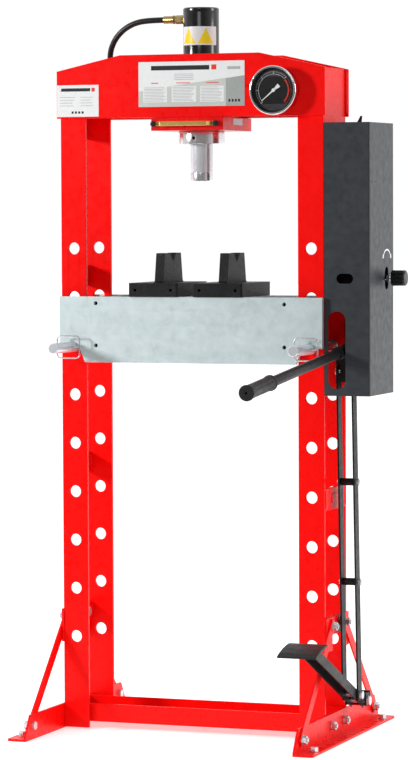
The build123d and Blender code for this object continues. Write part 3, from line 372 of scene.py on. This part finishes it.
LABEL_GREY = printed("label_grey", (0.42, 0.44, 0.43), (0.38, 0.40, 0.39), 0.4)
DIAL_GREY = printed("dial_grey", (0.030, 0.030, 0.033), (0.05, 0.05, 0.054), 0.5)
YELLOW_INK = printed("yellow_ink", (0.90, 0.72, 0.02), (0.84, 0.66, 0.02), 0.4)
GLASS = clear_glass("gauge_glass_clear")

NODE_MATERIALS = {
    RED: ["left_upright_bars", "right_upright_bars", "crown_front_plate", "crown_rear_plate", "crown_rails",
          "tie_plates", "base_angles", "cross_channel", "side_braces"],
    DEEP_RED: ["carriage_block"],
    CHARCOAL: ["pump_housing"],
    BLACK: ["pump_mount", "oil_tank", "lever_rocker", "lever_tube", "link_bars", "link_spacers", "pedal_arm",
            "pedal_pad", "pedal_bracket", "bed_spacers"],
    GLOSS_BLACK: ["cylinder_tube", "cylinder_cap"],
    ZINC: ["bed_plates"],
    BRIGHT_ZINC: ["frame_bolts", "foot_bolts", "pivot_pins", "rocker_eye_bolt", "link_bolts",
                  "pedal_eye_bolt"],
    TURNED: ["ram_collar", "ram_nose", "ram_piston", "pump_barrel"],
    CHROME: ["gauge_case", "gauge_rim", "release_valve", "pump_plunger"],
    PIN_ZINC: ["left_bed_pin", "right_bed_pin", "ram_rod"],
    WIRE: ["left_pin_clip", "right_pin_clip", "return_spring"],
    BRASS: ["cylinder_hose_fitting", "pump_hose_fitting", "gauge_stem"],
    STRAP: ["carriage_handle"],
    IRON: ["left_v_block", "right_v_block", "pump_body"],
    RUBBER: ["lever_grip", "piston_seal"],
    PLASTIC: ["valve_knob", "filler_plug", "carriage_screws"],
    DIAL_BLACK: ["gauge_dial"],
    WHITE_INK: ["gauge_pointer"],
    GLASS: ["gauge_glass"],
}


def paint(obj, material):
    obj.data.materials.clear()
    obj.data.materials.append(material)


hose.data.materials.append(HOSE_RUBBER)
spring.data.materials.append(WIRE)
for material, names in NODE_MATERIALS.items():
    for name in names:
        paint(nodes[name], material)

USUAL_EDGE = 0.0007
EDGE_ANGLE = 40
EDGE_WIDTH = {"left_v_block": 0.0016, "right_v_block": 0.0016, "valve_knob": 0.0006,
              "pedal_pad": 0.0012, "carriage_block": 0.0010}
NO_EDGES = {"gauge_glass", "return_spring", "hydraulic_hose", "left_pin_clip", "right_pin_clip",
            "gauge_pointer", "piston_seal", "bed_plates", "pump_housing"}
for name, node in nodes.items():
    if name in NO_EDGES:
        continue
    weld = node.modifiers.new("join", "WELD")
    weld.merge_threshold = 0.00001
    edges = node.modifiers.new("edges", "BEVEL")
    edges.width = EDGE_WIDTH.get(name, USUAL_EDGE)
    edges.segments = 2
    edges.limit_method = "ANGLE"
    edges.angle_limit = math.radians(EDGE_ANGLE)
    edges.use_clamp_overlap = True


# ---------------------------------------------------------------- making pieces
def mesh_object(name, bm, material, body, smooth=False):
    """A finished piece from a bmesh, riding on a CAD body."""
    bmesh.ops.recalc_face_normals(bm, faces=bm.faces)
    mesh = bpy.data.meshes.new(name)
    bm.to_mesh(mesh)
    bm.free()
    for face in mesh.polygons:
        face.use_smooth = smooth
    obj = bpy.data.objects.new(name, mesh)
    scene.collection.objects.link(obj)
    obj.data.materials.append(material)
    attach(obj, body)
    return obj


def front(x, z, y):
    """A place on a face that looks to the front."""
    return Vector((x, y, z))


def side(y, z, x):
    """A place on a face that looks to the right."""
    return Vector((x, y, z))


def prism(bm, outline, base, top):
    """Adds a closed solid between an outline and its copy; base and top place an (a, b) pair."""
    low = [bm.verts.new(base(a, b)) for a, b in outline]
    high = [bm.verts.new(top(a, b)) for a, b in outline]
    count = len(outline)
    bm.faces.new(low)
    bm.faces.new(list(reversed(high)))
    for i in range(count):
        j = (i + 1) % count
        bm.faces.new((low[j], low[i], high[i], high[j]))


def rectangle(a0, a1, b0, b1, corner=0.0, steps=4):
    """A rectangle's outline, with rounded corners if asked."""
    if corner == 0:
        return [(a0, b0), (a1, b0), (a1, b1), (a0, b1)]
    points = []
    for a, b, start in ((a1, b1, 0), (a0, b1, 90), (a0, b0, 180), (a1, b0, 270)):
        centre_a = a - corner if a == a1 else a + corner
        centre_b = b - corner if b == b1 else b + corner
        for step in range(steps + 1):
            angle = math.radians(start + 90 * step / steps)
            points.append((centre_a + corner * math.cos(angle), centre_b + corner * math.sin(angle)))
    return points


def front_print(name, outlines, face_y, lift, thick, material, body="frame"):
    """Flat pieces on a face that looks to the front; lift is their height above the face."""
    bm = bmesh.new()
    back = face_y - lift
    for outline in outlines:
        prism(bm, outline, lambda a, b: front(a, b, back), lambda a, b: front(a, b, back - thick))
    return mesh_object(name, bm, material, body)


def side_print(name, outlines, low, high, material, body):
    """Flat pieces on a face that looks to the right, between two values of X."""
    bm = bmesh.new()
    for outline in outlines:
        prism(bm, outline, lambda a, b: side(a, b, low), lambda a, b: side(a, b, high))
    return mesh_object(name, bm, material, body)


# ---------------------------------------------------------------- labels, with no words on them
CROWN_FACE = -0.0865
LABEL_LIFT = 0.00005
LABEL_THICK = 0.0004
INK = 0.0001
INK_LIFT = 0.00003
FINE_PRINT = 0.0011           # height of a bar that stands for a line of small print
CROWN_LABEL = (-0.1195, 0.1317, 1.4057, 1.5055)       # left, right, bottom and top
CORNER_LABEL = (-0.317, -0.216, 1.386, 1.457)
CARRIAGE_SIDE_X = 0.0835
CARRIAGE_STICKER = (-0.028, 0.032, 1.365, 1.379)      # front, rear, bottom and top


def text_lines(a0, a1, b0, b1, rows, height, ragged):
    """Rows of short bars that stand for small print."""
    bars = []
    for row in range(rows):
        b = b1 - (row + 0.5) * (b1 - b0) / rows
        end = a1 - ragged * rng.random() * (a1 - a0)
        bars.append(rectangle(a0, end, b - height / 2, b + height / 2))
    return bars


def label_place(box, u, v):
    """A point on a label, u from its left edge and v down from its top, both as shares of its size."""
    x0, x1, z0, z1 = box
    return x0 + u * (x1 - x0), z1 - v * (z1 - z0)


def label_patch(box, u0, u1, v0, v1):
    """The outline of a rectangle on a label, its sides given as shares of the label's size."""
    left, top = label_place(box, u0, v0)
    right, bottom = label_place(box, u1, v1)
    return rectangle(left, right, bottom, top)


def label_print(box, u0, u1, v0, v1, rows, ragged):
    """Fine print in a patch of a label, as short bars."""
    left, top = label_place(box, u0, v0)
    right, bottom = label_place(box, u1, v1)
    return text_lines(left, right, bottom, top, rows, FINE_PRINT, ragged)


def add_label_plate(name, box):
    front_print(name, [rectangle(*box)], CROWN_FACE, LABEL_LIFT, LABEL_THICK, LABEL_WHITE)


def add_label_ink(name, outlines, material, layer=0):
    """Ink on a label; a higher layer lies over a lower one."""
    face = CROWN_FACE - LABEL_LIFT - LABEL_THICK - layer * INK
    front_print(name, outlines, face, INK_LIFT, INK, material)


def add_labels():
    box = CROWN_LABEL
    add_label_plate("crown_label_plate", box)
    add_label_ink("crown_label_title", [label_patch(box, 0.12, 0.67, 0.09, 0.19)], LABEL_DARK)
    add_label_ink("crown_label_square", [label_patch(box, 0.69, 0.737, 0.08, 0.19)], RED_INK)
    field = [label_place(box, *place) for place in
             ((0, 1), (0, 0.66), (0.15, 0.60), (0.35, 0.53), (0.60, 0.45), (0.83, 0.38), (1, 0.33), (1, 1))]
    add_label_ink("crown_label_field", [field], LABEL_PALE)
    block = [label_place(box, *place) for place in ((0.825, 1), (0.825, 0.39), (1, 0.335), (1, 1))]
    add_label_ink("crown_label_block", [block], LABEL_MID, 1)
    columns = ((0.045, 0.27), (0.315, 0.545), (0.585, 0.805))
    panels = [label_patch(box, u0, u1, 0.55, 0.90) for u0, u1 in columns]
    add_label_ink("crown_label_columns", panels, LABEL_WHITE, 1)
    bars = []
    for u0, u1 in columns:
        bars += label_print(box, u0 + 0.01, u1 - 0.01, 0.56, 0.89, 10, 0.2)
    add_label_ink("crown_label_lines", bars, LABEL_GREY, 2)
    headings = [label_patch(box, u0, u1, 0.468, 0.486)
                for u0, u1 in ((0.12, 0.19), (0.36, 0.49), (0.64, 0.76))]
    add_label_ink("crown_label_headings", headings, RED_INK, 1)
    middle = label_print(box, 0.34, 0.53, 0.26, 0.42, 4, 0.1) + [label_patch(box, 0.84, 0.96, 0.13, 0.19)]
    add_label_ink("crown_label_small_print", middle, LABEL_GREY, 1)
    marks = [label_patch(box, 0.85 + 0.03 * i, 0.868 + 0.03 * i, 0.85, 0.91) for i in range(4)]
    add_label_ink("crown_label_marks", marks, LABEL_DARK, 2)

    box = CORNER_LABEL
    add_label_plate("corner_label_plate", box)
    add_label_ink("corner_label_title", [label_patch(box, 0.10, 0.80, 0.10, 0.20)], LABEL_DARK)
    add_label_ink("corner_label_square", [label_patch(box, 0.83, 0.91, 0.09, 0.21)], RED_INK)
    bars = label_print(box, 0.07, 0.45, 0.34, 0.70, 4, 0.3)
    bars += label_print(box, 0.56, 0.92, 0.34, 0.70, 4, 0.5)
    add_label_ink("corner_label_lines", bars, LABEL_GREY)
    marks = [label_patch(box, 0.35 + 0.08 * i, 0.40 + 0.08 * i, 0.83, 0.90) for i in range(4)]
    add_label_ink("corner_label_marks", marks, LABEL_DARK)

    sticker_x = CARRIAGE_SIDE_X + LABEL_LIFT
    side_print("carriage_sticker", [rectangle(*CARRIAGE_STICKER)], sticker_x, sticker_x + LABEL_THICK,
               LABEL_SILVER, "carriage")


add_labels()

RAM_X = SPRING_X
BAND_RADIUS = 0.0407
BAND_THICK = 0.0003
BAND_ANGLES = (215, 345)
BAND_Z = (1.5435, 1.585)
TRIANGLE_STARTS = (222, 280)
TRIANGLE_ANGLE = 50
TRIANGLE_Z = (1.5475, 1.5815)
TRIANGLE_THICK = 0.0001


def curved_patch(name, start, end, z0, z1, radius, thick, material, slot, body, pointed=False):
    """A thin patch wrapped on the cylinder; angles in degrees, 0 to the right and 270 to the front.

    A pointed patch is a triangle: its height falls from the middle to both ends."""
    bm = bmesh.new()
    steps = 2 * max(4, int((end - start) / 6))
    height = z1 - z0
    rings = []
    for step in range(steps + 1):
        angle = math.radians(start + (end - start) * step / steps)
        way = Vector((math.cos(angle), math.sin(angle), 0))
        if pointed:
            z1 = z0 + height * max(0.03, 1 - abs(2 * step / steps - 1))
        ring = []
        for r, z in ((radius, z0), (radius + thick, z0), (radius + thick, z1), (radius, z1)):
            ring.append(bm.verts.new(Vector((RAM_X, 0, z)) + way * r))
        rings.append(ring)
    for before, after in zip(rings, rings[1:]):
        for i in range(4):
            j = (i + 1) % 4
            bm.faces.new((before[i], before[j], after[j], after[i]))
    bm.faces.new(rings[0])
    bm.faces.new(list(reversed(rings[-1])))
    return mesh_object(name, bm, material, body, smooth=False)


def add_cylinder_band():
    curved_patch("cylinder_band", *BAND_ANGLES, *BAND_Z, BAND_RADIUS, BAND_THICK, LABEL_WHITE, "zinc_plate",
                 "carriage")
    outer = BAND_RADIUS + BAND_THICK
    for index, start in enumerate(TRIANGLE_STARTS):
        curved_patch("cylinder_band_patch_" + str(index), start, start + TRIANGLE_ANGLE, *TRIANGLE_Z, outer,
                     TRIANGLE_THICK, YELLOW_INK, "zinc_plate", "carriage", pointed=True)


add_cylinder_band()

# ---------------------------------------------------------------- gauge face
GAUGE_X = 0.2075
GAUGE_Z = 1.4375
DIAL_Y = -0.1095
HUB_Y = -0.1127
SCALE_START = 225.0
SCALE_SWEEP = 270.0
SCALE_TOP = 600
DIVISIONS = 60
LONG_EVERY = 10
MIDDLE_EVERY = 5
HIGH_FROM = 40                # the divisions after this one are red
NUMBER_STEPS = 6
TICK_OUTER = 0.0415
HIGH_ARC = (0.0330, 0.0356)   # inner and outer radius
LOW_ARC = (0.0352, 0.0357)
CAP_RADIUS = 0.0445
CAP_STEPS = 16
INK_BASE = 0.00005


def dial_place(angle, radius):
    turn = math.radians(angle)
    return GAUGE_X + radius * math.cos(turn), GAUGE_Z + radius * math.sin(turn)


def dial_tick(angle, inner, outer, width):
    """A radial bar on the dial."""
    turn = math.radians(angle)
    across_x = -math.sin(turn) * width / 2
    across_z = math.cos(turn) * width / 2
    corners = []
    for radius, way in ((inner, -1), (outer, -1), (outer, 1), (inner, 1)):
        x, z = dial_place(angle, radius)
        corners.append((x + way * across_x, z + way * across_z))
    return corners


def dial_arc(first, last, inner, outer):
    """A band on the dial between two angles."""
    steps = max(3, int(abs(last - first) / 4))
    angles = [first + (last - first) * i / steps for i in range(steps + 1)]
    return [dial_place(a, outer) for a in angles] + [dial_place(a, inner) for a in reversed(angles)]


def dial_number(text, angle, radius, size):
    """A number as a mesh.

    Known fault: as_mesh drops the object's place, so the mesh is left at the origin, not on the dial."""
    data = bpy.data.curves.new("number", "FONT")
    data.body = text
    data.size = size
    data.align_x = "CENTER"
    data.align_y = "CENTER"
    data.extrude = 0.00006
    obj = bpy.data.objects.new("number", data)
    scene.collection.objects.link(obj)
    x, z = dial_place(angle, radius)
    obj.matrix_world = Matrix.Translation((x, DIAL_Y - 0.0002, z)) @ Matrix.Rotation(math.radians(90), 4, "X")
    return as_mesh(obj)


def add_gauge_face():
    white = []
    red = []
    for step in range(DIVISIONS + 1):
        angle = SCALE_START - SCALE_SWEEP * step / DIVISIONS
        inner = 0.0365 if step % LONG_EVERY == 0 else 0.0385 if step % MIDDLE_EVERY == 0 else 0.0395
        width = 0.0009 if step % LONG_EVERY == 0 else 0.0005
        (red if step > HIGH_FROM else white).append(dial_tick(angle, inner, TICK_OUTER, width))
    high_start = SCALE_START - SCALE_SWEEP * (HIGH_FROM + 0.5) / DIVISIONS
    low_end = SCALE_START - SCALE_SWEEP * HIGH_FROM / DIVISIONS
    red.append(dial_arc(high_start, SCALE_START - SCALE_SWEEP, *HIGH_ARC))
    white.append(dial_arc(SCALE_START, low_end, *LOW_ARC))
    caps = []
    for first, last in ((138, 42), (-42, -138)):
        angles = [first + (last - first) * i / CAP_STEPS for i in range(CAP_STEPS + 1)]
        caps.append([dial_place(a, CAP_RADIUS) for a in angles])
    front_print("gauge_caps", caps, DIAL_Y, 0.00002, 0.00003, DIAL_GREY)
    front_print("gauge_scale", white, DIAL_Y, INK_BASE, INK, WHITE_INK)
    front_print("gauge_scale_high", red, DIAL_Y, INK_BASE, INK, RED_INK)
    numbers = []
    for index in range(NUMBER_STEPS + 1):
        angle = SCALE_START - SCALE_SWEEP * index / NUMBER_STEPS
        numbers.append(dial_number(str(index * SCALE_TOP // NUMBER_STEPS), angle, 0.0265, 0.0072))
    numbers.append(dial_number("bar", 90, 0.0135, 0.0062))
    bm = bmesh.new()
    for number in numbers:
        bm.from_mesh(number.data)
        bpy.data.objects.remove(number)
    mesh_object("gauge_numbers", bm, WHITE_INK, "frame")
    bm = bmesh.new()
    bmesh.ops.create_cone(bm, cap_ends=True, segments=24, radius1=0.0042, radius2=0.0036, depth=0.0016,
                          matrix=Matrix.Translation((GAUGE_X, HUB_Y, GAUGE_Z))
                          @ Matrix.Rotation(math.radians(90), 4, "X"))
    mesh_object("gauge_pointer_hub", bm, WHITE_INK, "pointer")


add_gauge_face()

# ---------------------------------------------------------------- release valve mark
BOX_SIDE_X = 0.4175
PRINT_BASE = BOX_SIDE_X + 0.00005
MARK_TOP = BOX_SIDE_X + 0.0003
MARK_Y = 0.049
MARK_Z = 1.052
MARK_RADIUS = 0.034
MARK_START = 38
MARK_SWEEP = 104
MARK_STEPS = 14
MARK_HALF_WIDTH = 0.0016
HEAD_HALF_WIDTH = 0.0055
HEAD_ANGLE = 15


def mark_place(angle, radius):
    turn = math.radians(angle)
    return MARK_Y + radius * math.cos(turn), MARK_Z + radius * math.sin(turn)


def add_valve_mark():
    """A double-headed arc above the knob, for the ways it turns."""
    angles = [MARK_START + MARK_SWEEP * i / MARK_STEPS for i in range(MARK_STEPS + 1)]
    band = [mark_place(a, MARK_RADIUS + MARK_HALF_WIDTH) for a in angles]
    band += [mark_place(a, MARK_RADIUS - MARK_HALF_WIDTH) for a in reversed(angles)]
    outlines = [band]
    for angle, way in ((MARK_START, -1), (MARK_START + MARK_SWEEP, 1)):
        outlines.append([mark_place(angle, MARK_RADIUS - HEAD_HALF_WIDTH),
                         mark_place(angle, MARK_RADIUS + HEAD_HALF_WIDTH),
                         mark_place(angle + way * HEAD_ANGLE, MARK_RADIUS)])
    side_print("valve_direction_mark", outlines, PRINT_BASE, MARK_TOP, WHITE_INK, "frame")


add_valve_mark()

# Painted shade for the housing's front fold: a dark strip on the side face, just behind the fold.
FOLD_SHADE_TOP = BOX_SIDE_X + 0.0002
FOLD_SHADE_BAND = (-0.0752, -0.0742, 0.7665, 1.366)      # front, rear, bottom and top


def add_housing_fold_shade():
    """Painted shade: a dark line on the housing's side along the fold between its front and its side, where
    the bend turns away from the light.
    """
    side_print("housing_fold_painted_shade", [rectangle(*FOLD_SHADE_BAND)], PRINT_BASE, FOLD_SHADE_TOP, LABEL_DARK, "frame")


add_housing_fold_shade()


# ---------------------------------------------------------------- weld beads
def weld_bead(bm, start, end, radius):
    """Adds a rippled bead along a joint, with a lumpy, tapered run."""
    start = Vector(start)
    end = Vector(end)
    run = end - start
    along = run.normalized()
    helper = Vector((0, 0, 1)) if abs(along.z) < 0.9 else Vector((1, 0, 0))
    u = along.cross(helper).normalized()
    v = along.cross(u)
    pitch = 0.0022            # from one ripple to the next
    sides = 8
    steps = max(6, int(run.length / (pitch / 3)))
    rings = []
    for step in range(steps + 1):
        share = step / steps
        ripple = 1 + 0.12 * abs(math.sin(math.pi * share * run.length / pitch)) + rng.uniform(-0.04, 0.04)
        taper = min(1.0, 0.45 + 8 * min(share, 1 - share))
        size = radius * ripple * taper
        centre = start + run * share
        rings.append([bm.verts.new(centre + (u * math.cos(a) + v * math.sin(a)) * size)
                      for a in (2 * math.pi * k / sides for k in range(sides))])
    for before, after in zip(rings, rings[1:]):
        for k in range(sides):
            m = (k + 1) % sides
            bm.faces.new((before[k], before[m], after[m], after[k]))
    bm.faces.new(rings[0])
    bm.faces.new(list(reversed(rings[-1])))


def upright_bead(bm, x, y, low, high, radius):
    """Adds a bead that runs straight up."""
    weld_bead(bm, (x, y, low), (x, y, high), radius)


BAR_INNER_Y = 0.0705
BAR_OUTER_Y = 0.0785
OUTER_X = 0.312
TIE_INNER_X = 0.304
UPRIGHT_INNER_X = 0.252
LOW_TIE = (0.232, 0.273)                              # each tie's bottom and top
MIDDLE_TIE = {1: (0.510, 0.559), -1: (0.573, 0.619)}  # 1 is the right upright, -1 the left
HIGH_TIE = (1.003, 1.050)
TOP_TIE = (1.338, 1.380)
CROWN_BEAD_Z = (1.385, 1.474)
CROWN_EDGE_Z = (1.384, 1.3815)
CROWN_END_X = 0.3135
CROWN_END_Z = (1.386, 1.486)
FOOT_BEAD = (0.3105, 0.064, 0.020, 0.054)             # X, half the distance in Y, bottom and top
BRACKET_BEAD = (0.3125, 0.080, 0.200, 0.268)
PEDAL_BRACKET_BEAD = ((0.314, 0.0718, 0.062), (0.3635, 0.0718, 0.062))


def add_welds():
    bm = bmesh.new()
    for way in (1, -1):
        for low, high in (LOW_TIE, MIDDLE_TIE[way], HIGH_TIE, TOP_TIE):
            for y in (-BAR_INNER_Y, BAR_INNER_Y):
                upright_bead(bm, way * TIE_INNER_X, y, low + 0.004, high - 0.004, 0.0030)
        # outside, the high tie has beads on the left upright only
        for low, high in (MIDDLE_TIE[way],) if way == 1 else (MIDDLE_TIE[way], HIGH_TIE):
            for y in (-BAR_INNER_Y, BAR_INNER_Y):
                upright_bead(bm, way * OUTER_X, y, low + 0.003, high - 0.003, 0.0018)
        for y in (-BAR_OUTER_Y, BAR_OUTER_Y):
            upright_bead(bm, way * OUTER_X, y, *CROWN_BEAD_Z, 0.0030)
            edge_y = y * 0.999
            inner = (way * UPRIGHT_INNER_X, edge_y, CROWN_EDGE_Z[0])
            outer = (way * (OUTER_X - 0.004), edge_y, CROWN_EDGE_Z[1])
            weld_bead(bm, inner, outer, 0.0012)
        for (x, half_y, low, high), radius in ((FOOT_BEAD, 0.0022), (BRACKET_BEAD, 0.0020)):
            for y in (-half_y, half_y):
                upright_bead(bm, way * x, y, low, high, radius)
        upright_bead(bm, way * CROWN_END_X, BAR_OUTER_Y - 0.001, *CROWN_END_Z, 0.0034)
    weld_bead(bm, *PEDAL_BRACKET_BEAD, 0.0012)
    mesh_object("weld_beads", bm, RED, "frame", smooth=True)


add_welds()


# ---------------------------------------------------------------- floor, lights and background
FLOOR_NEAR_Y = -1.3
FLOOR_FAR_Y = 40.0
FLOOR_HALF_X = 20.0
FLOOR_GLOW = 0.5
FRONT_SKY = 0.20
BACK_SKY = 1.02
SKY_BLEND_Y = (-0.75, 0.1)    # the directions' Y where the front's sky ends and the back's begins


def add_floor():
    """A pale floor that starts a little in front of the press, so its front faces don't mirror it."""
    bm = bmesh.new()
    near, far, half = FLOOR_NEAR_Y, FLOOR_FAR_Y, FLOOR_HALF_X
    corners = ((-half, near), (half, near), (half, far), (-half, far))
    bm.faces.new([bm.verts.new((x, y, 0)) for x, y in corners])
    mesh = bpy.data.meshes.new("floor")
    bm.to_mesh(mesh)
    bm.free()
    floor = bpy.data.objects.new("floor", mesh)
    floor.location = (0, 0, -0.0005)
    scene.collection.objects.link(floor)
    s = Surface("pale_floor")
    tone = s.remap(s.noise(2.0, 3), 0.3, 0.7, 0, 1)
    base = s.mix(tone, (0.95, 0.95, 0.95), (0.92, 0.92, 0.92))
    mesh.materials.append(s.finish(base, 0.9, Emission_Color=(1, 1, 1, 1), Emission_Strength=FLOOR_GLOW))


def add_light(name, place, target, size, power):
    """A rectangular white light that points at the target."""
    data = bpy.data.lights.new(name, "AREA")
    data.shape = "RECTANGLE"
    data.size, data.size_y = size
    data.energy = power
    light = bpy.data.objects.new(name, data)
    way = (Vector(target) - Vector(place)).normalized()
    light.rotation_mode = "QUATERNION"
    light.rotation_quaternion = way.to_track_quat("-Z", "Y")
    light.location = place
    scene.collection.objects.link(light)


def add_world():
    """White behind and at the sides of the press, and grey in front of it."""
    world = bpy.data.worlds.new("studio")
    world.use_nodes = True
    tree = world.node_tree
    place = tree.nodes.new("ShaderNodeTexCoord")
    split = tree.nodes.new("ShaderNodeSeparateXYZ")
    ramp = tree.nodes.new("ShaderNodeMapRange")
    tree.links.new(place.outputs["Generated"], split.inputs["Vector"])
    tree.links.new(split.outputs["Y"], ramp.inputs["Value"])
    ramp.inputs["From Min"].default_value = SKY_BLEND_Y[0]
    ramp.inputs["From Max"].default_value = SKY_BLEND_Y[1]
    ramp.inputs["To Min"].default_value = FRONT_SKY
    ramp.inputs["To Max"].default_value = BACK_SKY
    background = tree.nodes["Background"]
    background.inputs["Color"].default_value = (1, 1, 1, 1)
    tree.links.new(ramp.outputs["Result"], background.inputs["Strength"])
    scene.world = world


add_floor()
add_world()
add_light("key", (-2.9, -2.7, 1.9), (0.1, 0, 1.0), (0.6, 0.6), 112)
add_light("fill", (0.6, -5.0, 3.4), (0, 0, 0.8), (1.6, 1.6), 22)
add_light("rim", (4.2, 0.6, 2.0), (0.3, 0, 1.0), (1.2, 1.8), 45)
scene.view_settings.view_transform = "Standard"
